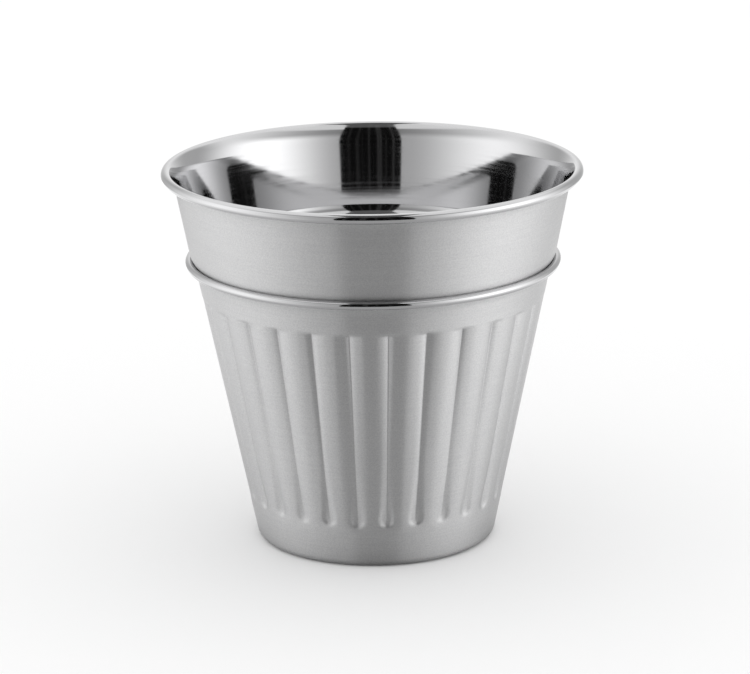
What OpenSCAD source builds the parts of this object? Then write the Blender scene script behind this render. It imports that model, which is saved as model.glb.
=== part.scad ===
// Table-top windproof ashtray in the shape of a small fluted waste bin.
// Two loose pieces of drawn sheet steel: the fluted bin, and the funnel insert that sits in its mouth.
// Millimetres, +Z up. The origin is the centre of the face that the bin stands on.

/* [Overall] */
// Outer diameter of the insert's rolled rim, the widest part
rim_d = 95; // [78:1:115]
// Height of the bin alone, to the top of its rolled rim
bin_h = 65.7; // [54:0.1:80]
// Height that the seated insert stands above the bin's rim
collar_h = 20.5; // [16:0.1:26]
// Diameter of the bin's wall where it would meet the floor with a sharp corner
foot_d = 54.2; // [44:0.1:66]
// Thickness of the sheet, in both pieces
sheet = 0.5; // [0.35:0.05:0.6]

/* [Bin] */
// Diameter of the rolled bead round the bin's mouth
mouth_bead_d = 1.9; // [1.6:0.1:2.6]
// Slope of the mouth's flare next to its bead, from the vertical
mouth_flare_slope = 27; // [24:1:36]
// Radius of the bend between the bin's wall and its flare
mouth_bend_r = 8; // [4:0.5:10]
// Straight length of the mouth's flare
mouth_flare_l = 1.4; // [0.6:0.1:2.4]
// Outer radius of the corner between the base and the wall
foot_corner_r = 2.2; // [1.2:0.1:3]
// Diameter of the raised panel in the base
panel_d = 44; // [30:1:48]
// Height of the raised panel above the standing ring
panel_h = 0.8; // [0.4:0.1:1.2]

/* [Flutes] */
// Number of pressed flutes round the wall
flute_count = 28; // [20:1:32]
// Width of a flute's mouth at the wall's outer face
flute_w = 3.6; // [2.4:0.1:4.4]
// Depth of a flute below the wall's outer face
flute_depth = 0.7; // [0.5:0.05:1.2]
// Height of the flutes' lower tips above the floor
flute_low = 10; // [7:0.5:14]
// Plain wall between the flutes' upper tips and the top of the bin's rim
flute_top_margin = 8.2; // [7:0.1:12]
// Turn of the first flute from the front of the bin, in degrees
flute_turn = 4.7; // [-6:0.1:6]

/* [Insert] */
// Taper of the insert's wall, from the vertical
insert_taper = 11; // [9:0.1:15]
// Diameter of the rolled bead round the insert's rim
rim_bead_d = 2.2; // [1.8:0.1:2.8]
// Slope of the rim's flare next to its bead, from the vertical
rim_flare_slope = 32; // [26:1:40]
// Radius of the bend between the insert's wall and its flare
rim_bend_r = 9; // [5:0.5:12]
// Straight length of the rim's flare
rim_flare_l = 0.6; // [0.4:0.1:2]
// Outer radius of the corner between the insert's wall and its funnel
shoulder_r = 5; // [4:0.5:7]
// Height above the bin's rim at which the insert's wall starts to turn in
shoulder_rise = 1.6; // [0.2:0.1:2.4]
// Fall of the funnel towards its hole, from the horizontal
funnel_fall = 22; // [14:1:30]
// Diameter of the drop hole
hole_d = 26; // [20:1:34]
// Length of the straight collar turned down round the drop hole
hole_collar_l = 3; // [1.5:0.5:5]
// Radius of the underside of the bend into the hole's collar
hole_bend_r = 1.5; // [0.8:0.1:2.5]

/* [Fit] */
// Gap between the insert's shoulder and the bead that carries it
seat_gap = 0.12; // [0.1:0.01:0.3]
// Gap between the end of a rolled bead and the flare that it closes against
curl_gap = 0.15; // [0.1:0.01:0.25]

/* [Hidden] */
$fn = 96;
// How far a cutting solid runs past what it cuts
over = 1;
arc_steps = 12;
curl_steps = 24;

// Outward normal of a wall or flare that leans out by "lean" degrees, and its upward direction
function normal(lean) = [cos(lean), -sin(lean)];
function upward(lean) = [sin(lean), cos(lean)];

// Points of an arc about c, from angle a0 to angle a1
function arc(c, r, a0, a1, steps = arc_steps) =
    [for (i = [0:steps]) let (a = a0 + (a1 - a0) * i / steps) c + r * [cos(a), sin(a)]];

function reversed(list) = [for (i = [len(list) - 1:-1:0]) list[i]];

// How far a bead curls before its end would touch the flare's underside
function curl_turn(bead_r) = 360 - acos((bead_r - sheet - curl_gap) / bead_r);

// A bead's centre fixes the end of the flare's straight, and that fixes the centre of the flare's bend
function flare_end(bead, bead_r, slope) = bead - (bead_r - sheet) * normal(slope);
function bend_centre(end, slope, straight, bend_r) = end - straight * upward(slope) + bend_r * normal(slope);

// Insert: the rim's bead, its flare, and the wall's line below it
rim_bead_r = rim_bead_d / 2;
rim_bead = [rim_d / 2 - rim_bead_r, bin_h + collar_h - rim_bead_r];
rim_end = flare_end(rim_bead, rim_bead_r, rim_flare_slope);
rim_bend = bend_centre(rim_end, rim_flare_slope, rim_flare_l, rim_bend_r);
wall_top = rim_bend - rim_bend_r * normal(insert_taper);

// Insert: the shoulder starts on the wall's line, just above the bin's rim
shoulder_z = bin_h + shoulder_rise;
shoulder_start = wall_top - (wall_top[1] - shoulder_z) / cos(insert_taper) * upward(insert_taper);
shoulder = shoulder_start - shoulder_r * normal(insert_taper);
shoulder_end = shoulder + shoulder_r * [sin(funnel_fall), -cos(funnel_fall)];

// Insert: the bend into the hole's collar lies on the funnel's line
hole_r = hole_d / 2;
hole_bend_x = hole_r + sheet + hole_bend_r;
hole_bend_drop = ((shoulder_end[0] - hole_bend_x) * sin(funnel_fall) + hole_bend_r) / cos(funnel_fall);
hole_bend = [hole_bend_x, shoulder_end[1] - hole_bend_drop];
collar_low = hole_bend[1] - hole_collar_l;

// Bin: the bead stands off the insert's shoulder by the seat gap
mouth_bead_r = mouth_bead_d / 2;
mouth_bead_z = bin_h - mouth_bead_r;
seat_reach = shoulder_r + seat_gap + mouth_bead_r;
mouth_bead = [shoulder[0] + sqrt(pow(seat_reach, 2) - pow(shoulder[1] - mouth_bead_z, 2)), mouth_bead_z];
mouth_end = flare_end(mouth_bead, mouth_bead_r, mouth_flare_slope);
mouth_bend = bend_centre(mouth_end, mouth_flare_slope, mouth_flare_l, mouth_bend_r);

// Bin: the wall runs from the foot and is tangent to the mouth's bend
foot_r = foot_d / 2;
bend_reach = norm(mouth_bend - [foot_r, 0]);
bin_taper = atan2(mouth_bend[0] - foot_r, mouth_bend[1]) - asin(mouth_bend_r / bend_reach);
foot_corner = [foot_r - foot_corner_r * (1 - sin(bin_taper)) / cos(bin_taper), foot_corner_r];

// Base: the panel's edge is a 45 degree step, mitred on its upper face
panel_r = panel_d / 2;
step_mitre = sheet * tan(22.5);

// The fluted cone and the turned mouth meet half way from the flutes' ends to the mouth's bend
seam_z = (bin_h - flute_top_margin + mouth_bend[1] + mouth_bend_r * sin(bin_taper)) / 2;

// Flutes: a round cutter lies parallel to the wall, its axis outside it
flute_half = flute_w / 2;
flute_r = (pow(flute_half, 2) + pow(flute_depth, 2)) / (2 * flute_depth);
flute_axis_out = flute_r - flute_depth;
flute_from = flute_low / cos(bin_taper) + flute_half;
flute_to = (bin_h - flute_top_margin) / cos(bin_taper) - flute_half;

// Radius of the bin's wall at height z, at a depth below its outer face
function wall_r(z, depth) = foot_r + z * tan(bin_taper) - depth / cos(bin_taper);

// The base's panel and foot corner, on the outer face of the bin's sheet and on its inner face
function base_outer() = concat(
    [[0, panel_h], [panel_r, panel_h], [panel_r + panel_h, 0]],
    arc(foot_corner, foot_corner_r, -90, -bin_taper)
);
function base_inner() = concat(
    [[0, panel_h + sheet], [panel_r + step_mitre, panel_h + sheet], [panel_r + panel_h + step_mitre, sheet]],
    arc(foot_corner, foot_corner_r - sheet, -90, -bin_taper)
);

// The mouth's bend and bead, on the outer face of the bin's sheet and on its inner face
function mouth_outer() = concat(
    arc(mouth_bend, mouth_bend_r, 180 - bin_taper, 180 - mouth_flare_slope),
    arc(mouth_bead, mouth_bead_r - sheet, 180 - mouth_flare_slope,
        180 - mouth_flare_slope - curl_turn(mouth_bead_r), curl_steps)
);
function mouth_inner() = concat(
    arc(mouth_bend, mouth_bend_r + sheet, 180 - bin_taper, 180 - mouth_flare_slope),
    arc(mouth_bead, mouth_bead_r, 180 - mouth_flare_slope,
        180 - mouth_flare_slope - curl_turn(mouth_bead_r), curl_steps)
);

// The two faces of the insert's sheet, from the hole's collar up into the bead
function insert_outer() = concat(
    [[hole_r + sheet, collar_low]],
    arc(hole_bend, hole_bend_r, 180, 90 + funnel_fall),
    arc(shoulder, shoulder_r, funnel_fall - 90, -insert_taper),
    arc(rim_bend, rim_bend_r, 180 - insert_taper, 180 - rim_flare_slope),
    arc(rim_bead, rim_bead_r - sheet, 180 - rim_flare_slope,
        180 - rim_flare_slope - curl_turn(rim_bead_r), curl_steps)
);
function insert_inner() = concat(
    [[hole_r, collar_low]],
    arc(hole_bend, hole_bend_r + sheet, 180, 90 + funnel_fall),
    arc(shoulder, shoulder_r - sheet, funnel_fall - 90, -insert_taper),
    arc(rim_bend, rim_bend_r + sheet, 180 - insert_taper, 180 - rim_flare_slope),
    arc(rim_bead, rim_bead_r, 180 - rim_flare_slope,
        180 - rim_flare_slope - curl_turn(rim_bead_r), curl_steps)
);

// Stands its children at every flute: Z up the wall, and X straight out of its outer face
module at_flutes() {
    for (i = [0:flute_count - 1])
        rotate([0, 0, flute_turn - 90 + i * 360 / flute_count])
            translate([foot_r, 0, 0])
                rotate([0, bin_taper, 0])
                    children();
}

// One flute's round-ended bar, beside the wall's outer face, which is the YZ plane here
module flute_bar(bar_r) {
    translate([flute_axis_out, 0, flute_from]) {
        cylinder(h = flute_to - flute_from, r = bar_r);
        sphere(r = bar_r);
        translate([0, 0, flute_to - flute_from]) sphere(r = bar_r);
    }
}

// A solid turned from the base's and the wall's outline, up to a height, with the flutes pressed in
module pressed_cone(outline, top_r, top_z, bar_r) {
    difference() {
        rotate_extrude()
            polygon(concat(outline, [[top_r, top_z], [0, top_z]]));
        at_flutes() flute_bar(bar_r);
    }
}

// Fluted bin: base, tapered wall with its pressed flutes, flared mouth and rolled bead
module bin_body() {
    color("silver") {
        difference() {
            pressed_cone(base_outer(), wall_r(seam_z, 0), seam_z, flute_r);
            pressed_cone(base_inner(), wall_r(seam_z + over, sheet), seam_z + over, flute_r + sheet);
        }
        rotate_extrude()
            polygon(concat([[wall_r(seam_z, 0), seam_z]], mouth_outer(),
                reversed(mouth_inner()), [[wall_r(seam_z, sheet), seam_z]]));
    }
}

// Funnel insert: rolled rim, tapered wall, shoulder that sits in the bin's mouth, funnel and drop hole
module funnel_insert() {
    color("gainsboro")
        rotate_extrude()
            polygon(concat(insert_outer(), reversed(insert_inner())));
}

bin_body();
funnel_insert();
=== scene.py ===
# %% [markdown]
# A table-top windproof ashtray, in the shape of a small fluted waste bin. It is two loose pieces of drawn
# stainless steel sheet: the fluted bin below, and a funnel insert that sits in the bin's mouth. This lesson
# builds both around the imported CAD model, which fixes every size, and gives each its finish.

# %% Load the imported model
import math

import bpy
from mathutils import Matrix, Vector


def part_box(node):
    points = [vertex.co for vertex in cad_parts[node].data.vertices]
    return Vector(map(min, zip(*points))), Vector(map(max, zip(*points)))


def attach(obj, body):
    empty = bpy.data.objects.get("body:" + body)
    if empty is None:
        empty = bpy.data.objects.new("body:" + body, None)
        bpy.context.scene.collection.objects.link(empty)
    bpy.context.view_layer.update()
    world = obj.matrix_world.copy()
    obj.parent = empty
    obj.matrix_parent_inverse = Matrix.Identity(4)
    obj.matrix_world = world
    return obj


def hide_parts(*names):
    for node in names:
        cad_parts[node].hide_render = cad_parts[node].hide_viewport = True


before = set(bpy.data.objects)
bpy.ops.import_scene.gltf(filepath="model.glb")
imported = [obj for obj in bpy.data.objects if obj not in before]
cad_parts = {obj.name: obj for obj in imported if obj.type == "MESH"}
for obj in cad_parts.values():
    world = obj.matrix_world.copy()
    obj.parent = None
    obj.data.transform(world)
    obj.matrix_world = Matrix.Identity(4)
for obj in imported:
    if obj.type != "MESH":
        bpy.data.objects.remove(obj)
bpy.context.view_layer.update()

# %% [markdown]
# Everything below is written in millimetres, because that is how a sheet-metal drawing is read, and is
# multiplied by MM where it becomes geometry. Colours are sRGB hex values, as a paint or metal sample is
# quoted, and one function turns them into the linear values that shaders use, by the sRGB standard's formula.

# %% Units and colours
MM = 0.001


def linear(hex_colour):
    """Linear RGBA of an sRGB hex colour such as "#C0C0C0"."""
    shares = [int(hex_colour[i : i + 2], 16) / 255 for i in (1, 3, 5)]
    return [c / 12.92 if c <= 0.04045 else ((c + 0.055) / 1.055) ** 2.4 for c in shares] + [1.0]


print("mid grey in linear light:", [round(c, 3) for c in linear("#808080")])

# %% [markdown]
# Materials and Geometry Nodes trees are both node trees. One helper adds a node, sets what is given by name,
# and links what is given as a socket, so each tree below reads as a list of steps. Three kinds come up often.
# Map Range is one: its socket 0 is the value, 1 and 2 are the range it comes from, and 3 and 4 the range it
# goes to.

# %% One helper for every node
MATH = "ShaderNodeMath"
NOISE = "ShaderNodeTexNoise"
RANGE = "ShaderNodeMapRange"
SMOOTH = {"interpolation_type": "SMOOTHSTEP"}


def add_node(tree, kind, inputs=None, **settings):
    """Adds a node. inputs maps a socket's name or number to a value, or to another node's output socket."""
    node = tree.nodes.new(kind)
    for name, value in settings.items():
        setattr(node, name, value)
    for key, value in (inputs or {}).items():
        socket = node.inputs[key]
        if isinstance(value, bpy.types.NodeSocket):
            tree.links.new(value, socket)
        else:
            socket.default_value = value
    return node


print("node kinds used often:", MATH, NOISE, RANGE)

# %% [markdown]
# The camera stands a good arm's length from the ashtray and looks down on it a little, with a long lens, as
# for a catalogue picture. It is made early, so that every later step can be looked at from the same place.

# %% Camera
CAMERA_DISTANCE = 788.7
CAMERA_ELEVATION = math.radians(16.1)
CAMERA_ROLL = math.radians(0.68)
LOOK_AT_HEIGHT = 42.0
LENS = 165.7
SENSOR_WIDTH = 36.0
SHIFT_ACROSS = 0.001
SHIFT_UP = 0.0226

camera = bpy.data.objects.new("camera", bpy.data.cameras.new("camera"))
bpy.context.collection.objects.link(camera)
camera.data.lens = LENS
camera.data.sensor_width = SENSOR_WIDTH
camera.data.shift_x = SHIFT_ACROSS
camera.data.shift_y = SHIFT_UP
camera.data.clip_start = 0.01
camera.location = (
    0,
    -CAMERA_DISTANCE * math.cos(CAMERA_ELEVATION) * MM,
    (LOOK_AT_HEIGHT + CAMERA_DISTANCE * math.sin(CAMERA_ELEVATION)) * MM,
)
camera.rotation_mode = "XYZ"
camera.rotation_euler = (math.radians(90) - CAMERA_ELEVATION, 0, 0)
camera.rotation_euler.rotate_axis("Z", -CAMERA_ROLL)
bpy.context.scene.camera = camera
print("camera at, m:", [round(v, 3) for v in camera.location])

# %% [markdown]
# Both pieces are turned shapes, so each is drawn as the outline of its sheet in one half plane: across from
# the axis and up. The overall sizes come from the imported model, and the rest are the drawing's own values.
# The sheet has two faces, and a bend is a pair of arcs about one centre. Tapers, slopes and falls are in
# degrees: a taper or slope is counted from the vertical, and the funnel's fall from the horizontal.

# %% Sizes of the sheet, rims and walls
bin_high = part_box("bin_body")[1]
insert_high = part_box("funnel_insert")[1]
RIM_R = insert_high[0] / MM
TOTAL_H = insert_high[2] / MM
BIN_H = bin_high[2] / MM
SHEET = 0.5
RIM_BEAD_R = 1.1
RIM_SLOPE = 32
RIM_BEND_R = 9
RIM_STRAIGHT = 0.6
INSERT_TAPER = 11
SHOULDER_R = 5
SHOULDER_Z = BIN_H + 1.6
FUNNEL_FALL = 22
HOLE_R = 13
HOLE_COLLAR = 3
HOLE_BEND_R = 1.5
FOOT_R = 27.1
FOOT_CORNER_R = 2.2
PANEL_R = 22
PANEL_H = 0.8
PANEL_BEND_R = 0.9
MOUTH_BEAD_R = 0.95
MOUTH_SLOPE = 27
MOUTH_BEND_R = 8
MOUTH_STRAIGHT = 1.4
SEAT_GAP = 0.12
CURL_GAP = 0.15
print(f"rim radius {RIM_R:.2f}, height {TOTAL_H:.2f}, bin height {BIN_H:.2f} mm")

# %% [markdown]
# Both rims are made the same way: the wall bends outwards into a short straight flare, and the flare's edge
# is rolled down and under into a hollow bead, which stiffens the sheet and hides its sharp edge. So a few
# small functions draw both, and only the radii and slopes differ.

# %% Arcs, lines and the curl of a bead
BEND_STEPS = 10
SHOULDER_STEPS = 14
PANEL_STEPS = 5
BEAD_INNER_STEPS = 18
BEAD_OUTER_STEPS = 30


def sin(degrees):
    return math.sin(math.radians(degrees))


def cos(degrees):
    return math.cos(math.radians(degrees))


def along(point, direction, distance):
    """The point a distance away in a direction given in degrees."""
    return (point[0] + distance * cos(direction), point[1] + distance * sin(direction))


def arc(centre, radius, start, end, steps):
    """Points of an arc about a centre, between two angles in degrees."""
    return [along(centre, start + (end - start) * i / steps, radius) for i in range(steps + 1)]


def curl_angle(bead_r):
    """How far a bead rolls round before its edge would meet the flare's underside."""
    return 360 - math.degrees(math.acos((bead_r - SHEET - CURL_GAP) / bead_r))


def flare_bend_centre(bead, bead_r, slope, straight, bend_r):
    """The flare leans out by slope degrees from the vertical, and ends in the bead."""
    end = along(bead, -slope, -(bead_r - SHEET))
    return along(along(end, 90 - slope, -straight), -slope, bend_r)


def rolled_rim(bead, bead_r, slope, bend, bend_r, taper):
    """Under face and upper face of a flared rim: the bend out of the wall, then the bead."""
    last = 180 - slope - curl_angle(bead_r)
    under = [
        *arc(bend, bend_r, 180 - taper, 180 - slope, BEND_STEPS),
        *arc(bead, bead_r - SHEET, 180 - slope, last, BEAD_INNER_STEPS),
    ]
    upper = [
        *arc(bend, bend_r + SHEET, 180 - taper, 180 - slope, BEND_STEPS),
        *arc(bead, bead_r, 180 - slope, last, BEAD_OUTER_STEPS),
    ]
    return under, upper


print("the rim's bead rolls round", round(curl_angle(RIM_BEAD_R)), "degrees")

# %% [markdown]
# The insert is one funnel-shaped cup. Its outline runs from the collar of its drop hole, up the funnel, round
# the shoulder that sits in the bin's mouth, up the tapered wall and into the rolled rim. Each point is worked
# out from the rim downwards, because the rim's place is known from the overall size.

# %% Outline of the funnel insert
rim_bead = (RIM_R - RIM_BEAD_R, TOTAL_H - RIM_BEAD_R)
rim_bend = flare_bend_centre(rim_bead, RIM_BEAD_R, RIM_SLOPE, RIM_STRAIGHT, RIM_BEND_R)
wall_top = along(rim_bend, -INSERT_TAPER, -RIM_BEND_R)
wall_low = along(wall_top, 90 - INSERT_TAPER, -(wall_top[1] - SHOULDER_Z) / cos(INSERT_TAPER))
shoulder = along(wall_low, -INSERT_TAPER, -SHOULDER_R)
shoulder_end = along(shoulder, FUNNEL_FALL - 90, SHOULDER_R)
hole_bend_x = HOLE_R + SHEET + HOLE_BEND_R
hole_drop = ((shoulder_end[0] - hole_bend_x) * sin(FUNNEL_FALL) + HOLE_BEND_R) / cos(FUNNEL_FALL)
hole_bend = (hole_bend_x, shoulder_end[1] - hole_drop)
collar_low = hole_bend[1] - HOLE_COLLAR
under, upper = rolled_rim(rim_bead, RIM_BEAD_R, RIM_SLOPE, rim_bend, RIM_BEND_R, INSERT_TAPER)
insert_outside = [
    (HOLE_R + SHEET, collar_low),
    *arc(hole_bend, HOLE_BEND_R, 180, 90 + FUNNEL_FALL, BEND_STEPS),
    *arc(shoulder, SHOULDER_R, FUNNEL_FALL - 90, -INSERT_TAPER, SHOULDER_STEPS),
    *under,
]
insert_inside = [
    (HOLE_R, collar_low),
    *arc(hole_bend, HOLE_BEND_R + SHEET, 180, 90 + FUNNEL_FALL, BEND_STEPS),
    *arc(shoulder, SHOULDER_R - SHEET, FUNNEL_FALL - 90, -INSERT_TAPER, SHOULDER_STEPS),
    *upper,
]
print("insert outline:", len(insert_outside), "points outside,", len(insert_inside), "inside")

# %% [markdown]
# The bin is a deep tapered cup, and its mouth is fitted to the insert: its bead stands off the insert's
# shoulder by the seat gap, and its wall is the line from the foot that is tangent to the mouth's bend.

# %% Mouth and taper of the bin
seat_reach = SHOULDER_R + SEAT_GAP + MOUTH_BEAD_R
mouth_bead_z = BIN_H - MOUTH_BEAD_R
mouth_bead = (shoulder[0] + math.sqrt(seat_reach**2 - (shoulder[1] - mouth_bead_z) ** 2), mouth_bead_z)
mouth_bend = flare_bend_centre(mouth_bead, MOUTH_BEAD_R, MOUTH_SLOPE, MOUTH_STRAIGHT, MOUTH_BEND_R)
bend_reach = math.dist(mouth_bend, (FOOT_R, 0))
lean_to_bend = math.atan2(mouth_bend[0] - FOOT_R, mouth_bend[1])
BIN_TAPER = math.degrees(lean_to_bend - math.asin(MOUTH_BEND_R / bend_reach))
foot_corner = (FOOT_R - FOOT_CORNER_R * (1 - sin(BIN_TAPER)) / cos(BIN_TAPER), FOOT_CORNER_R)
print(f"bin taper {BIN_TAPER:.2f} degrees, mouth bead at {mouth_bead[0]:.2f} mm from the axis")

# %% [markdown]
# The wall is straight and would need no rows of points of its own, but the flutes are pressed into it later.
# Where they end, the pressing is shaped, so there the rows stand close together, and twice as close on the
# outer face, which is the one that shows.

# %% Rows up the bin's wall
FLUTE_LOW = 10.0
FLUTE_HIGH = 57.5
END_ROW = 0.3
END_ROWS = 19
END_REACH = 2.2
MIDDLE_ROW = 6
MIDDLE_ROWS = 7


def wall_rows(spacing):
    """Heights of the wall's rows: close together round both ends of the flutes, and wide apart between."""
    count = round(END_ROWS * END_ROW / spacing)
    low_end = [FLUTE_LOW - END_REACH + spacing * i for i in range(count)]
    high_end = [FLUTE_HIGH + END_REACH - spacing * i for i in range(count)]
    middle = [FLUTE_LOW + MIDDLE_ROW * (i + 1) for i in range(MIDDLE_ROWS)]
    return sorted(low_end + middle + high_end)


def wall_face(offset, spacing):
    """Points up one face of the bin's wall, which lies offset millimetres inside the outer face."""
    radius = FOOT_R - offset / cos(BIN_TAPER)
    return [(radius + z * math.tan(math.radians(BIN_TAPER)), z) for z in wall_rows(spacing)]


print("rows up the wall:", len(wall_rows(END_ROW)), "outside,", len(wall_rows(2 * END_ROW)), "inside")

# %% [markdown]
# The base has a shallow raised panel, as drawn cups have, so that the bin stands on a flat ring and doesn't
# rock. Its step leans at 45 degrees, with a small bend at its top and at its foot.

# %% Outline of the bin


def panel_face(offset):
    """Points from the axis over the panel's step. The sheet's upper face lies offset above its lower."""
    reach = PANEL_BEND_R * math.tan(math.radians(45 / 2))
    crown = (PANEL_R - reach, PANEL_H - PANEL_BEND_R)
    valley = (PANEL_R + PANEL_H + reach, PANEL_BEND_R)
    return [
        (0, PANEL_H + offset),
        *arc(crown, PANEL_BEND_R + offset, 90, 90 - 45, PANEL_STEPS),
        *arc(valley, PANEL_BEND_R - offset, 270 - 45, 270, PANEL_STEPS),
    ]


under, upper = rolled_rim(mouth_bead, MOUTH_BEAD_R, MOUTH_SLOPE, mouth_bend, MOUTH_BEND_R, BIN_TAPER)
bin_outside = [
    *panel_face(0),
    *arc(foot_corner, FOOT_CORNER_R, -90, -BIN_TAPER, BEND_STEPS),
    *wall_face(0, END_ROW),
    *under,
]
bin_inside = [
    *panel_face(SHEET),
    *arc(foot_corner, FOOT_CORNER_R - SHEET, -90, -BIN_TAPER, BEND_STEPS),
    *wall_face(SHEET, 2 * END_ROW),
    *upper,
]
print("bin outline:", len(bin_outside), "points outside,", len(bin_inside), "inside")

# %% [markdown]
# An outline becomes a small mesh of points joined in a ring, whose rows are numbered: the outside face first,
# then the inside face back down. The tree in the next cells turns such an outline into sheet metal.

# %% Outline to mesh


def outline_object(name, outside, inside):
    """A flat outline, with no faces, at its place in the XZ plane."""
    points = [(x * MM, 0, z * MM) for x, z in outside + inside[::-1]]
    mesh = bpy.data.meshes.new(name)
    mesh.from_pydata(points, [(i, (i + 1) % len(points)) for i in range(len(points))], [])
    piece = bpy.data.objects.new(name, mesh)
    bpy.context.collection.objects.link(piece)
    return piece


insert = outline_object("insert_shell", insert_outside, insert_inside)
bin_shell = outline_object("bin_shell", bin_outside, bin_inside)
print("outline points:", len(insert.data.vertices), "and", len(bin_shell.data.vertices))

# %% [markdown]
# The outside of both pieces is satin stainless steel: 1.4301 sheet, ground with fine grit while it turns. The
# grain runs round the piece, so a reflection stays sharp from side to side and smears up and down, which is
# what the anisotropic setting does, turned a quarter so that it smears across the grain. The finest scratches
# scatter some light every way, as a pale haze, so the metallic setting stops a little short of 1. Grit leaves
# marks of about 0.05 mm, too fine to show from here, so the speckle is drawn at 0.3 mm. The streaks of the
# grain are 0.35 mm apart up the wall and about 17 mm long round it.

# %% Marks of the satin grain
GRAIN_PITCH = 0.35
GRAIN_STREAKS_A_METRE = 60
SPECKLE_SIZE = 0.3
SPECKLE_SHARE = 0.78


def new_material(name):
    """A material with an empty node tree, and the tree."""
    material = bpy.data.materials.new(name)
    material.use_nodes = True
    material.node_tree.nodes.clear()
    return material, material.node_tree


satin, tree = new_material("satin_stainless")
place = add_node(tree, "ShaderNodeTexCoord").outputs["Object"]
grain_scale = (GRAIN_STREAKS_A_METRE, GRAIN_STREAKS_A_METRE, 1 / (GRAIN_PITCH * MM))
grain_place = add_node(tree, "ShaderNodeMapping", {"Vector": place, "Scale": grain_scale}).outputs[0]
grain_look = {"Vector": grain_place, "Scale": 1.0, "Detail": 3.0, "Roughness": 0.6}
grain = add_node(tree, NOISE, grain_look).outputs[0]
speckle_look = {"Vector": place, "Scale": 1 / (SPECKLE_SIZE * MM), "Detail": 2.0, "Roughness": 0.7}
speckle = add_node(tree, NOISE, speckle_look).outputs[0]
marks = add_node(tree, "ShaderNodeMix", {"Factor": SPECKLE_SHARE, "A": grain, "B": speckle}).outputs[0]
print("satin steel:", len(tree.nodes), "nodes for its marks")

# %% Satin stainless steel
GROUND_STEEL_DARK = "#CCCCCD"
GROUND_STEEL_LIGHT = "#DDDDDD"
SATIN_ROUGHNESS = 0.4
SATIN_STRETCH = 1.0
SATIN_QUARTER_TURN = 0.25
SATIN_METAL = 0.87
MARKS_LOW = 0.35
MARKS_HIGH = 0.65
MARK_HEIGHT = 0.02

contrast = add_node(tree, RANGE, {0: marks, 1: MARKS_LOW, 2: MARKS_HIGH}).outputs[0]
steels = {"Factor": contrast, 6: linear(GROUND_STEEL_DARK), 7: linear(GROUND_STEEL_LIGHT)}
colour = add_node(tree, "ShaderNodeMix", steels, data_type="RGBA").outputs[2]
bump = add_node(tree, "ShaderNodeBump", {"Height": marks, "Strength": 0.5, "Distance": MARK_HEIGHT * MM})
tangent = add_node(tree, "ShaderNodeTangent", direction_type="RADIAL", axis="Z")
surface = add_node(
    tree,
    "ShaderNodeBsdfPrincipled",
    {
        "Base Color": colour,
        "Metallic": SATIN_METAL,
        "Roughness": SATIN_ROUGHNESS,
        "Anisotropic": SATIN_STRETCH,
        "Anisotropic Rotation": SATIN_QUARTER_TURN,
        "Tangent": tangent.outputs[0],
        "Normal": bump.outputs[0],
    },
)
add_node(tree, "ShaderNodeOutputMaterial", {"Surface": surface.outputs[0]})
print("satin steel:", len(tree.nodes), "nodes")

# %% [markdown]
# The inside of both pieces and both rolled beads are polished on a wheel to a mirror. The wheel leaves faint
# lines round the piece, where the mirror is a little softer and stands a hair higher or lower. Real lines are
# a few hundredths of a millimetre apart, too fine to show, so they are drawn 0.6 mm apart.

# %% Polished stainless steel
POLISHED_STEEL = "#CBCBCC"
WHEEL_LINE_PITCH = 0.6
WHEEL_STREAKS_A_METRE = 25
WHEEL_LINE_HEIGHT = 0.004
LINES_LOW = 0.35
LINES_HIGH = 0.7
MIRROR_ROUGHNESS = 0.04
LINE_ROUGHNESS = 0.1

polished, tree = new_material("polished_stainless")
place = add_node(tree, "ShaderNodeTexCoord").outputs["Object"]
wheel_scale = (WHEEL_STREAKS_A_METRE, WHEEL_STREAKS_A_METRE, 1 / (WHEEL_LINE_PITCH * MM))
wheel_place = add_node(tree, "ShaderNodeMapping", {"Vector": place, "Scale": wheel_scale}).outputs[0]
wheel_look = {"Vector": wheel_place, "Scale": 1.0, "Detail": 4.0, "Roughness": 0.6}
lines = add_node(tree, NOISE, wheel_look).outputs[0]
softening = {0: lines, 1: LINES_LOW, 2: LINES_HIGH, 3: MIRROR_ROUGHNESS, 4: LINE_ROUGHNESS}
softness = add_node(tree, RANGE, softening).outputs[0]
wheel_bump = {"Height": lines, "Strength": 0.15, "Distance": WHEEL_LINE_HEIGHT * MM}
bump = add_node(tree, "ShaderNodeBump", wheel_bump)
surface = add_node(
    tree,
    "ShaderNodeBsdfPrincipled",
    {"Base Color": linear(POLISHED_STEEL), "Metallic": 1.0, "Roughness": softness, "Normal": bump.outputs[0]},
)
add_node(tree, "ShaderNodeOutputMaterial", {"Surface": surface.outputs[0]})
print("polished steel:", len(tree.nodes), "nodes")

# %% [markdown]
# A turned shape follows one rule: every point of the outline goes round the axis. Spin or the Screw modifier
# could do that too. A tree is used because it can also number the rows, which says where each finish goes,
# and crowd the columns together where a flute needs them. It lays out a grid whose rows are the outline's
# points and whose columns are turns, puts each grid point in place, and merges the seams. A face is inside
# when the mean of its rows is past the last outside row.

# %% Inputs of the tree that turns an outline into sheet


def new_tree(name, sockets):
    """A Geometry Nodes tree with named inputs, given as (name, socket type, default)."""
    made = bpy.data.node_groups.new(name, "GeometryNodeTree")
    made.interface.new_socket("Geometry", in_out="INPUT", socket_type="NodeSocketGeometry")
    for label, kind, value in sockets:
        socket = made.interface.new_socket(label, in_out="INPUT", socket_type=kind)
        if value is not None:
            socket.default_value = value
    made.interface.new_socket("Geometry", in_out="OUTPUT", socket_type="NodeSocketGeometry")
    return made


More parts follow.
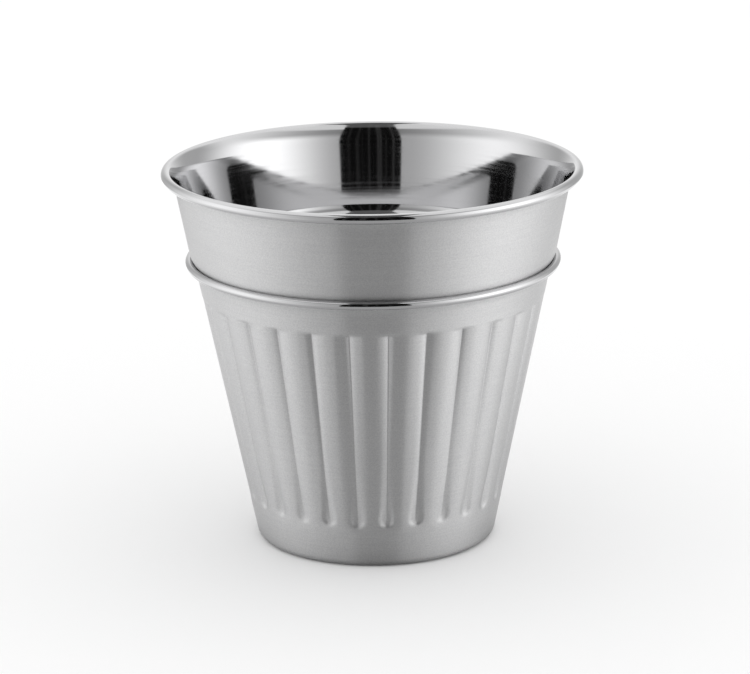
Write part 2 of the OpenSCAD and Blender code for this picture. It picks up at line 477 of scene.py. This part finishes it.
turn = new_tree(
    "turn_outline",
    [
        ("Rows", "NodeSocketInt", 10),
        ("Outside Rows", "NodeSocketInt", 5),
        ("Columns", "NodeSocketInt", 64),
        ("First Angle", "NodeSocketFloat", 0.0),
        ("Crowds", "NodeSocketInt", 1),
        ("Crowding", "NodeSocketFloat", 0.0),
        ("Outside Material", "NodeSocketMaterial", None),
        ("Inside Material", "NodeSocketMaterial", None),
    ],
)
entry = add_node(turn, "NodeGroupInput").outputs
print("sockets of the turning tree:", len(turn.interface.items_tree))

# %% Grid of rows and columns
row_ends = add_node(turn, MATH, {0: entry["Rows"], 1: 1.0}, operation="ADD").outputs[0]
column_ends = add_node(turn, MATH, {0: entry["Columns"], 1: 1.0}, operation="ADD").outputs[0]
grid_size = {"Vertices X": column_ends, "Vertices Y": row_ends}
grid = add_node(turn, "GeometryNodeMeshGrid", grid_size).outputs[0]
index = add_node(turn, "GeometryNodeInputIndex").outputs[0]
column = add_node(turn, MATH, {0: index, 1: row_ends}, operation="DIVIDE").outputs[0]
column = add_node(turn, MATH, {0: column}, operation="FLOOR").outputs[0]
row = add_node(turn, MATH, {0: index, 1: row_ends}, operation="MODULO").outputs[0]
numbered = add_node(
    turn,
    "GeometryNodeStoreNamedAttribute",
    {"Geometry": grid, "Name": "row", "Value": row},
    data_type="FLOAT",
    domain="POINT",
).outputs[0]
outline_row = add_node(turn, MATH, {0: row, 1: entry["Rows"]}, operation="MODULO").outputs[0]
position = add_node(turn, "GeometryNodeInputPosition").outputs[0]
outline_point = add_node(
    turn,
    "GeometryNodeSampleIndex",
    {"Geometry": entry["Geometry"], "Value": position, "Index": outline_row},
    data_type="FLOAT_VECTOR",
    domain="POINT",
).outputs[0]
print("turning tree:", len(turn.nodes), "nodes for the grid")

# %% Turn of each column, and where the finishes meet
SEAM_SHARE = 0.75
MERGE_REACH = 0.001

turned = add_node(turn, MATH, {0: column, 1: 2 * math.pi}, operation="MULTIPLY").outputs[0]
turned = add_node(turn, MATH, {0: turned, 1: entry["Columns"]}, operation="DIVIDE").outputs[0]
waves = add_node(turn, MATH, {0: turned, 1: entry["Crowds"]}, operation="MULTIPLY").outputs[0]
waves = add_node(turn, MATH, {0: waves}, operation="SINE").outputs[0]
pull = add_node(turn, MATH, {0: entry["Crowding"], 1: entry["Crowds"]}, operation="DIVIDE").outputs[0]
pull = add_node(turn, MATH, {0: waves, 1: pull}, operation="MULTIPLY").outputs[0]
turned = add_node(turn, MATH, {0: turned, 1: pull}, operation="SUBTRACT").outputs[0]
turned = add_node(turn, MATH, {0: turned, 1: entry["First Angle"]}, operation="ADD").outputs[0]
placed = add_node(
    turn, "ShaderNodeVectorRotate", {"Vector": outline_point, "Angle": turned}, rotation_type="Z_AXIS"
).outputs[0]
shaped = add_node(turn, "GeometryNodeSetPosition", {"Geometry": numbered, "Position": placed}).outputs[0]
merging = {"Geometry": shaped, "Distance": MERGE_REACH * MM}
closed = add_node(turn, "GeometryNodeMergeByDistance", merging).outputs[0]
stored_row = add_node(turn, "GeometryNodeInputNamedAttribute", {"Name": "row"}, data_type="FLOAT").outputs[0]
edge_row = add_node(turn, MATH, {0: entry["Outside Rows"], 1: SEAM_SHARE}, operation="SUBTRACT").outputs[0]
past_edge = {"A": stored_row, "B": edge_row}
inside = add_node(turn, "FunctionNodeCompare", past_edge, operation="GREATER_THAN").outputs[0]
real = add_node(turn, "GeometryNodeRealizeInstances", {"Geometry": closed}).outputs[0]
all_over = {"Geometry": real, "Material": entry["Outside Material"]}
outer = add_node(turn, "GeometryNodeSetMaterial", all_over).outputs[0]
within = {"Geometry": outer, "Selection": inside, "Material": entry["Inside Material"]}
both = add_node(turn, "GeometryNodeSetMaterial", within).outputs[0]
add_node(turn, "NodeGroupOutput", {"Geometry": both})
print("turning tree:", len(turn.nodes), "nodes")

# %% [markdown]
# The flutes are pressed into the bin's wall after it is drawn, by a ring of narrow punches. The second tree
# does the same: it finds how far each point is from the nearest flute's middle line, or from that line's end,
# and moves it in along the radius. Cutting grooves out with a boolean would leave sharp edges, where sheet
# has soft ones. Close to the line the sheet follows the punch into a sharp little groove, and further out it
# is only dished, so that the wall between two flutes swells gently outwards. The punch's round nose goes
# deeper at each flute's foot and fades upwards, and its square heel leaves a crisp top edge. The wall is
# ground after it is pressed, so the tree ends by giving its outside the satin finish.

# %% Inputs of the tree that presses the flutes
FLUTE_COUNT = 28

press = new_tree(
    "press_flutes",
    [
        ("Count", "NodeSocketInt", FLUTE_COUNT),
        ("First Angle", "NodeSocketFloat", 0.0),
        ("Low", "NodeSocketFloat", FLUTE_LOW * MM),
        ("High", "NodeSocketFloat", FLUTE_HIGH * MM),
        ("Groove Half Width", "NodeSocketFloat", 1.55 * MM),
        ("Groove Depth", "NodeSocketFloat", 0.29 * MM),
        ("Dish Half Width", "NodeSocketFloat", 3.7 * MM),
        ("Dish Depth", "NodeSocketFloat", 0.35 * MM),
        ("Top Edge", "NodeSocketFloat", 0.6 * MM),
        ("Foot Flat", "NodeSocketFloat", 0.8 * MM),
        ("Foot Half Width", "NodeSocketFloat", 1.9 * MM),
        ("Foot Depth", "NodeSocketFloat", 0.34 * MM),
        ("Foot Fade", "NodeSocketFloat", 0.25),
        ("Shallow", "NodeSocketFloat", 0.6),
        ("Deep", "NodeSocketFloat", 1.5),
        ("Outside Rows", "NodeSocketInt", 5),
        ("Outside Material", "NodeSocketMaterial", None),
    ],
)
entry = add_node(press, "NodeGroupInput").outputs
place = add_node(press, "GeometryNodeInputPosition").outputs[0]
split = add_node(press, "ShaderNodeSeparateXYZ", {0: place}).outputs
level = add_node(press, "ShaderNodeCombineXYZ", {"X": split["X"], "Y": split["Y"]}).outputs[0]
radius = add_node(press, "ShaderNodeVectorMath", {0: level}, operation="LENGTH").outputs["Value"]
print("sockets of the pressing tree:", len(press.interface.items_tree))

# %% Distance from the nearest flute's line
azimuth = add_node(press, MATH, {0: split["Y"], 1: split["X"]}, operation="ARCTAN2").outputs[0]
azimuth = add_node(press, MATH, {0: azimuth, 1: entry["First Angle"]}, operation="SUBTRACT").outputs[0]
half_pitch = add_node(press, MATH, {0: math.pi, 1: entry["Count"]}, operation="DIVIDE").outputs[0]
minus_half = add_node(press, MATH, {0: half_pitch, 1: -1.0}, operation="MULTIPLY").outputs[0]
off_line = add_node(press, MATH, {0: azimuth, 1: half_pitch, 2: minus_half}, operation="WRAP").outputs[0]
across = add_node(press, MATH, {0: off_line, 1: radius}, operation="MULTIPLY").outputs[0]
nose = entry["Groove Half Width"]
line_end = add_node(press, MATH, {0: entry["Low"], 1: nose}, operation="ADD").outputs[0]
below = add_node(press, MATH, {0: line_end, 1: split["Z"]}, operation="SUBTRACT").outputs[0]
fading = add_node(press, MATH, {0: below, 1: entry["Foot Fade"]}, operation="MULTIPLY").outputs[0]
fading = add_node(press, MATH, {0: fading, 1: -1.0}, operation="MULTIPLY").outputs[0]
fading = add_node(press, MATH, {0: below, 1: fading}, operation="MAXIMUM").outputs[0]
foot_apart = add_node(press, "ShaderNodeCombineXYZ", {"X": across, "Y": fading}).outputs[0]
foot_apart = add_node(press, "ShaderNodeVectorMath", {0: foot_apart}, operation="LENGTH").outputs["Value"]
below = add_node(press, MATH, {0: below, 1: 0.0}, operation="MAXIMUM").outputs[0]
apart = add_node(press, "ShaderNodeCombineXYZ", {"X": across, "Y": below}).outputs[0]
apart = add_node(press, "ShaderNodeVectorMath", {0: apart}, operation="LENGTH").outputs["Value"]
print("pressing tree:", len(press.nodes), "nodes for the distance")

# %% Depth of the pressing there
near = add_node(press, RANGE, {0: apart, 2: nose, 3: 1.0, 4: 0.0}).outputs[0]
groove = add_node(press, MATH, {0: near, 1: near}, operation="MULTIPLY").outputs[0]
groove = add_node(press, MATH, {0: groove, 1: entry["Groove Depth"]}, operation="MULTIPLY").outputs[0]
dishing = {0: apart, 2: entry["Dish Half Width"], 3: entry["Dish Depth"], 4: 0.0}
dish = add_node(press, RANGE, dishing, **SMOOTH).outputs[0]
depth = add_node(press, MATH, {0: groove, 1: dish}, operation="ADD").outputs[0]
upwards = {0: split["Z"], 1: entry["Low"], 2: entry["High"], 3: entry["Shallow"], 4: entry["Deep"]}
deeper = add_node(press, RANGE, upwards).outputs[0]
depth = add_node(press, MATH, {0: depth, 1: deeper}, operation="MULTIPLY").outputs[0]
nosing = {0: foot_apart, 1: entry["Foot Flat"], 2: entry["Foot Half Width"], 3: entry["Foot Depth"], 4: 0.0}
foot = add_node(press, RANGE, nosing, **SMOOTH).outputs[0]
depth = add_node(press, MATH, {0: depth, 1: foot}, operation="ADD").outputs[0]
edge_low = add_node(press, MATH, {0: entry["High"], 1: entry["Top Edge"]}, operation="SUBTRACT").outputs[0]
heel = {0: split["Z"], 1: edge_low, 2: entry["High"], 3: 1.0, 4: 0.0}
kept = add_node(press, RANGE, heel, **SMOOTH).outputs[0]
depth = add_node(press, MATH, {0: depth, 1: kept}, operation="MULTIPLY").outputs[0]
print("pressing tree:", len(press.nodes), "nodes with the depth")

# %% Move the sheet in, and keep its outside satin
share = add_node(press, MATH, {0: depth, 1: radius}, operation="DIVIDE").outputs[0]
share = add_node(press, MATH, {0: share, 1: -1.0}, operation="MULTIPLY").outputs[0]
inwards = add_node(press, "ShaderNodeVectorMath", {0: level, "Scale": share}, operation="SCALE").outputs[0]
moving = {"Geometry": entry["Geometry"], "Offset": inwards}
pressed = add_node(press, "GeometryNodeSetPosition", moving).outputs[0]
real = add_node(press, "GeometryNodeRealizeInstances", {"Geometry": pressed}).outputs[0]
stored_row = add_node(press, "GeometryNodeInputNamedAttribute", {"Name": "row"}, data_type="FLOAT").outputs[0]
edge_row = add_node(press, MATH, {0: entry["Outside Rows"], 1: SEAM_SHARE}, operation="SUBTRACT").outputs[0]
short_of_edge = {"A": stored_row, "B": edge_row}
outside = add_node(press, "FunctionNodeCompare", short_of_edge, operation="LESS_EQUAL").outputs[0]
ground = {"Geometry": real, "Selection": outside, "Material": entry["Outside Material"]}
finished = add_node(press, "GeometryNodeSetMaterial", ground).outputs[0]
add_node(press, "NodeGroupOutput", {"Geometry": finished})
print("pressing tree:", len(press.nodes), "nodes")

# %% [markdown]
# A Geometry Nodes modifier takes its inputs by the socket's identifier. When the trees have run, the result
# is copied into a plain mesh and the modifiers are taken off, so that the mesh itself holds what is shown.
# The flutes are evenly spaced, and the first one stands 4.7 degrees to the right of the front.

# %% Run a tree and keep its mesh


def run_tree(piece, made, values):
    """Adds a Geometry Nodes modifier to a piece and sets its named inputs."""
    modifier = piece.modifiers.new(made.name, "NODES")
    modifier.node_group = made
    for item in made.interface.items_tree:
        if item.in_out == "INPUT" and item.name in values:
            modifier[item.identifier] = values[item.name]


def plain_mesh(piece):
    """Replaces a piece's mesh by what its modifiers make, and takes them off."""
    evaluated = piece.evaluated_get(bpy.context.evaluated_depsgraph_get())
    mesh = bpy.data.meshes.new_from_object(evaluated)
    piece.modifiers.clear()
    piece.data = mesh
    mesh.name = piece.name
    mesh.attributes.remove(mesh.attributes["row"])
    mesh.shade_smooth()
    return mesh


print("trees:", turn.name, "and", press.name)

# %% Turn and press the two pieces
COLUMNS_PER_FLUTE = 18
FLUTE_CROWDING = 0.55
FLUTE_TURN = 4.7
FIRST_FLUTE = math.radians(FLUTE_TURN - 90)
INSERT_COLUMNS = 256

insert_values = {
    "Rows": len(insert.data.vertices),
    "Outside Rows": len(insert_outside),
    "Columns": INSERT_COLUMNS,
    "Outside Material": satin,
    "Inside Material": polished,
}
bin_values = {
    "Rows": len(bin_shell.data.vertices),
    "Outside Rows": len(bin_outside),
    "Columns": FLUTE_COUNT * COLUMNS_PER_FLUTE,
    "First Angle": FIRST_FLUTE,
    "Crowds": FLUTE_COUNT,
    "Crowding": FLUTE_CROWDING,
    "Outside Material": satin,
    "Inside Material": polished,
}
flute_values = {
    "Count": FLUTE_COUNT,
    "First Angle": FIRST_FLUTE,
    "Outside Rows": len(bin_outside),
    "Outside Material": satin,
}
run_tree(insert, turn, insert_values)
run_tree(bin_shell, turn, bin_values)
run_tree(bin_shell, press, flute_values)
for piece in (insert, bin_shell):
    mesh = plain_mesh(piece)
    triangles = sum(len(face.vertices) - 2 for face in mesh.polygons)
    print(piece.name, len(mesh.vertices), "vertices,", triangles, "triangles")

# %% [markdown]
# Each piece rides on its CAD body and stands for that body's plain CAD solid. The insert lifts out of the
# bin, so the two are on different bodies.

# %% Tie the pieces to the CAD bodies
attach(insert, "insert")
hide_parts("funnel_insert")
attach(bin_shell, "bin")
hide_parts("bin_body")

# %% [markdown]
# Steel shows only what stands round it, so the light is the picture. Small shiny ware is photographed inside
# a light tent: a drum of white cloth that glows where lamps stand behind it, with a slit in front for the
# lens. The slit shows as a black pillar in the polished cup, and as a grey band down the satin wall. Lamps
# alone would leave small hot spots in the mirror, so the cloth itself is made to glow. Only reflections see
# the tent, and the sizes of the stage are in metres.

# %% Size of the light tent
TENT_R = 0.34
TENT_HIGH = 0.62
TENT_SIDES = 96
PAPER_DROP = 0.001


def stage_mesh(name, points, faces, material):
    """A mesh of the stage, which isn't part of the object."""
    mesh = bpy.data.meshes.new(name)
    mesh.from_pydata(points, [], faces)
    mesh.materials.append(material)
    made = bpy.data.objects.new(name, mesh)
    bpy.context.collection.objects.link(made)
    return made


print(f"tent: {2 * TENT_R:.2f} m across, {TENT_HIGH:.2f} m high")

# %% [markdown]
# The cloth's glow is worked out from the bearing round the tent, counted from the lens, and from the height.
# A lamp stands at each side, the right one brighter, and a weaker one behind. A Map Range node with a smooth
# step blends from each zone into the next.

# %% Glow of the side and back lamps
LAMP_BEARING = math.radians(80)
LAMPS_TURN = math.radians(5)
LEFT_LAMP_WIDTH = math.radians(65)
RIGHT_LAMP_WIDTH = math.radians(60)
WIDTH_BLEND = math.radians(30)
LEFT_LAMP_GLOW = 1.45
RIGHT_LAMP_GLOW = 1.88
GLOW_BLEND = math.radians(60)
UNLIT_GLOW = 0.55
BACK_LAMP_EDGE = math.radians(145)
BACK_LAMP_GLOW = 0.5

cloth, tree = new_material("glowing_tent_cloth")
cloth_place = add_node(tree, "ShaderNodeTexCoord").outputs["Object"]
split = add_node(tree, "ShaderNodeSeparateXYZ", {0: cloth_place}).outputs
front = add_node(tree, MATH, {0: split["Y"], 1: -1.0}, operation="MULTIPLY").outputs[0]
bearing = add_node(tree, MATH, {0: split["X"], 1: front}, operation="ARCTAN2").outputs[0]
aside = add_node(tree, MATH, {0: bearing}, operation="ABSOLUTE").outputs[0]
widths = {0: bearing, 1: -WIDTH_BLEND, 2: WIDTH_BLEND, 3: LEFT_LAMP_WIDTH, 4: RIGHT_LAMP_WIDTH}
lamp_width = add_node(tree, RANGE, widths, **SMOOTH).outputs[0]
glows = {0: bearing, 1: -GLOW_BLEND, 2: GLOW_BLEND, 3: LEFT_LAMP_GLOW, 4: RIGHT_LAMP_GLOW}
lamp_glow = add_node(tree, RANGE, glows, **SMOOTH).outputs[0]
off_lamp = add_node(tree, MATH, {0: bearing, 1: LAMPS_TURN}, operation="ADD").outputs[0]
off_lamp = add_node(tree, MATH, {0: off_lamp}, operation="ABSOLUTE").outputs[0]
off_lamp = add_node(tree, MATH, {0: off_lamp, 1: LAMP_BEARING}, operation="SUBTRACT").outputs[0]
off_lamp = add_node(tree, MATH, {0: off_lamp}, operation="ABSOLUTE").outputs[0]
fall_off = {0: off_lamp, 1: 0, 2: lamp_width, 3: lamp_glow, 4: UNLIT_GLOW}
side_glow = add_node(tree, RANGE, fall_off, **SMOOTH).outputs[0]
behind = {0: aside, 1: BACK_LAMP_EDGE, 2: math.pi, 3: 0, 4: BACK_LAMP_GLOW}
back_glow = add_node(tree, RANGE, behind, **SMOOTH).outputs[0]
glow = add_node(tree, MATH, {0: side_glow, 1: back_glow}, operation="ADD").outputs[0]
print("tent cloth:", len(tree.nodes), "nodes so far")

# %% [markdown]
# Half way up, the cloth is out of the lamps' beams: darker in front, and brighter towards the back. Above
# that, and over the roof, it is bright all round.

# %% Glow of the upper cloth and roof
FRONT_EDGE = math.radians(10)
UPPER_BLEND = math.radians(120)
UPPER_FRONT_GLOW = 0.3
UPPER_BACK_GLOW = 1.15
ROOF_BLEND = math.radians(90)
ROOF_FRONT_GLOW = 0.9
ROOF_BACK_GLOW = 1.1
UPPER_START = 0.22
UPPER_FULL = 0.36
ROOF_START = 0.44
ROOF_FULL = 0.5

upper_round = {0: aside, 1: FRONT_EDGE, 2: UPPER_BLEND, 3: UPPER_FRONT_GLOW, 4: UPPER_BACK_GLOW}
upper_glow = add_node(tree, RANGE, upper_round, **SMOOTH).outputs[0]
roof_round = {0: aside, 1: FRONT_EDGE, 2: ROOF_BLEND, 3: ROOF_FRONT_GLOW, 4: ROOF_BACK_GLOW}
roof_glow = add_node(tree, RANGE, roof_round, **SMOOTH).outputs[0]
is_upper = add_node(tree, RANGE, {0: split["Z"], 1: UPPER_START, 2: UPPER_FULL}, **SMOOTH).outputs[0]
is_roof = add_node(tree, RANGE, {0: split["Z"], 1: ROOF_START, 2: ROOF_FULL}, **SMOOTH).outputs[0]
glow = add_node(tree, "ShaderNodeMix", {"Factor": is_upper, "A": glow, "B": upper_glow}).outputs[0]
glow = add_node(tree, "ShaderNodeMix", {"Factor": is_roof, "A": glow, "B": roof_glow}).outputs[0]
print("tent cloth:", len(tree.nodes), "nodes so far")

# %% [markdown]
# The slit is cut up the front of the drum, from the floor, and on across the roof to a little past its
# middle. Behind it is the dark studio, which is not quite black: dim upright streaks show in it, and the part
# overhead is a little lighter.

# %% Slit for the lens
SLIT_LEFT = -0.111
SLIT_RIGHT = 0.121
SLIT_BACK = 0.1
SLIT_BACK_BLEND = 0.03
SLIT_SOFT = 0.002
STREAKS_A_METRE = 60
STREAKS_A_METRE_UP = 0.5
STREAK_LOW = 0.5
STREAK_HIGH = 0.75
STUDIO_DIM = 0.005
STREAK_DIM = 0.06
OVERHEAD_START = 0.5
OVERHEAD_FULL = 0.56
OVERHEAD_GLOW = 0.12

streak_scale = (STREAKS_A_METRE, STREAKS_A_METRE, STREAKS_A_METRE_UP)
streak_place = add_node(tree, "ShaderNodeMapping", {"Vector": cloth_place, "Scale": streak_scale}).outputs[0]
streaks = add_node(tree, NOISE, {"Vector": streak_place, "Scale": 1.0, "Detail": 2.0}).outputs[0]
dims = {0: streaks, 1: STREAK_LOW, 2: STREAK_HIGH, 3: STUDIO_DIM, 4: STREAK_DIM}
dimness = add_node(tree, RANGE, dims, **SMOOTH).outputs[0]
overheads = {0: split["Z"], 1: OVERHEAD_START, 2: OVERHEAD_FULL, 4: OVERHEAD_GLOW}
overhead = add_node(tree, RANGE, overheads, **SMOOTH).outputs[0]
dimness = add_node(tree, MATH, {0: dimness, 1: overhead}, operation="ADD").outputs[0]
left_edge = {0: split["X"], 1: SLIT_LEFT - SLIT_SOFT, 2: SLIT_LEFT + SLIT_SOFT}
past_left = add_node(tree, RANGE, left_edge, **SMOOTH).outputs[0]
right_edge = {0: split["X"], 1: SLIT_RIGHT - SLIT_SOFT, 2: SLIT_RIGHT + SLIT_SOFT, 3: 1, 4: 0}
short_of_right = add_node(tree, RANGE, right_edge, **SMOOTH).outputs[0]
back_edge = {0: split["Y"], 1: SLIT_BACK, 2: SLIT_BACK + SLIT_BACK_BLEND, 3: 1, 4: 0}
short_of_back = add_node(tree, RANGE, back_edge, **SMOOTH).outputs[0]
in_slit = add_node(tree, MATH, {0: past_left, 1: short_of_right}, operation="MULTIPLY").outputs[0]
in_slit = add_node(tree, MATH, {0: in_slit, 1: short_of_back}, operation="MULTIPLY").outputs[0]
glow = add_node(tree, "ShaderNodeMix", {"Factor": in_slit, "A": glow, "B": dimness}).outputs[0]
print(f"slit: {SLIT_RIGHT - SLIT_LEFT:.3f} m wide")

# %% [markdown]
# The steel also mirrors the paper that it stands on. Paper near the foot lies in the piece's own shade, and
# paper in front of the slit gets little light, so its glow is set from the bearing and the distance out.

# %% Glow of the tent's paper
SHADE_START = 0.02
SHADE_END = 0.25
SHADED_GLOW = 0.55
OPEN_GLOW = 1.2
FRONT_PAPER_GLOW = 0.47
FRONT_PAPER_BLEND = math.radians(70)
CONTACT_START = 0.026
CONTACT_END = 0.036
CONTACT_SHARE = 0.1

out = add_node(tree, "ShaderNodeCombineXYZ", {"X": split["X"], "Y": split["Y"]}).outputs[0]
out = add_node(tree, "ShaderNodeVectorMath", {0: out}, operation="LENGTH").outputs["Value"]
outwards = {0: out, 1: SHADE_START, 2: SHADE_END, 3: SHADED_GLOW, 4: OPEN_GLOW}
lit_paper = add_node(tree, RANGE, outwards, **SMOOTH).outputs[0]
paper_round = {0: aside, 1: FRONT_EDGE, 2: FRONT_PAPER_BLEND, 3: FRONT_PAPER_GLOW, 4: lit_paper}
paper_glow = add_node(tree, RANGE, paper_round, **SMOOTH).outputs[0]
touching = {0: out, 1: CONTACT_START, 2: CONTACT_END, 3: CONTACT_SHARE, 4: 1.0}
contact = add_node(tree, RANGE, touching, **SMOOTH).outputs[0]
paper_glow = add_node(tree, MATH, {0: paper_glow, 1: contact}, operation="MULTIPLY").outputs[0]
is_paper = add_node(tree, RANGE, {0: split["Z"], 1: 0, 2: -PAPER_DROP}, **SMOOTH).outputs[0]
glow = add_node(tree, "ShaderNodeMix", {"Factor": is_paper, "A": glow, "B": paper_glow}).outputs[0]
emission = add_node(tree, "ShaderNodeEmission", {"Color": linear("#FFFFFF"), "Strength": glow})
add_node(tree, "ShaderNodeOutputMaterial", {"Surface": emission.outputs[0]})
print("tent cloth:", len(tree.nodes), "nodes")

# %% Drum, roof and paper of the tent


def circle(height):
    """Points round the tent at one height."""
    angles = [360 * i / TENT_SIDES for i in range(TENT_SIDES)]
    return [(TENT_R * cos(a), TENT_R * sin(a), height) for a in angles]


drum_faces = []
for i in range(TENT_SIDES):
    following = (i + 1) % TENT_SIDES
    drum_faces.append((i, following, following + TENT_SIDES, i + TENT_SIDES))
disc_face = [tuple(range(TENT_SIDES))]
tent = [
    stage_mesh("tent_drum", circle(0) + circle(TENT_HIGH), drum_faces, cloth),
    stage_mesh("tent_roof", circle(TENT_HIGH), disc_face, cloth),
    stage_mesh("tent_paper", circle(-PAPER_DROP), disc_face, cloth),
]
for part in tent:
    part.visible_camera = False
    part.visible_diffuse = False
    part.visible_shadow = False
print("tent parts:", [part.name for part in tent])

# %% [markdown]
# What the lens itself sees round the ashtray is plain: matt white paper in a pale, evenly lit room, so that
# the piece stands in a soft shadow of its own. The paper hides from reflections, which see the tent's paper.

# %% Paper floor and room
PAPER = "#FAFAFA"
PAPER_ROUGHNESS = 0.7
FLOOR_HALF = 4.0
ROOM_LIGHT = 1.06

paper, tree = new_material("floor_paper")
matt_white = {"Base Color": linear(PAPER), "Roughness": PAPER_ROUGHNESS, "Specular IOR Level": 0.0}
surface = add_node(tree, "ShaderNodeBsdfPrincipled", matt_white)
add_node(tree, "ShaderNodeOutputMaterial", {"Surface": surface.outputs[0]})
corners = [(x * FLOOR_HALF, y * FLOOR_HALF, 0) for x, y in ((-1, -1), (1, -1), (1, 1), (-1, 1))]
floor = stage_mesh("floor", corners, [(0, 1, 2, 3)], paper)
floor.visible_glossy = False

world = bpy.data.worlds.new("pale_room")
world.use_nodes = True
world.node_tree.nodes.clear()
room_look = {"Color": linear("#FFFFFF"), "Strength": ROOM_LIGHT}
room = add_node(world.node_tree, "ShaderNodeBackground", room_look)
add_node(world.node_tree, "ShaderNodeOutputWorld", {"Surface": room.outputs[0]})
bpy.context.scene.world = world
bpy.context.scene.view_settings.view_transform = "Standard"
print("floor:", 2 * FLOOR_HALF, "m square, in a room of even light")
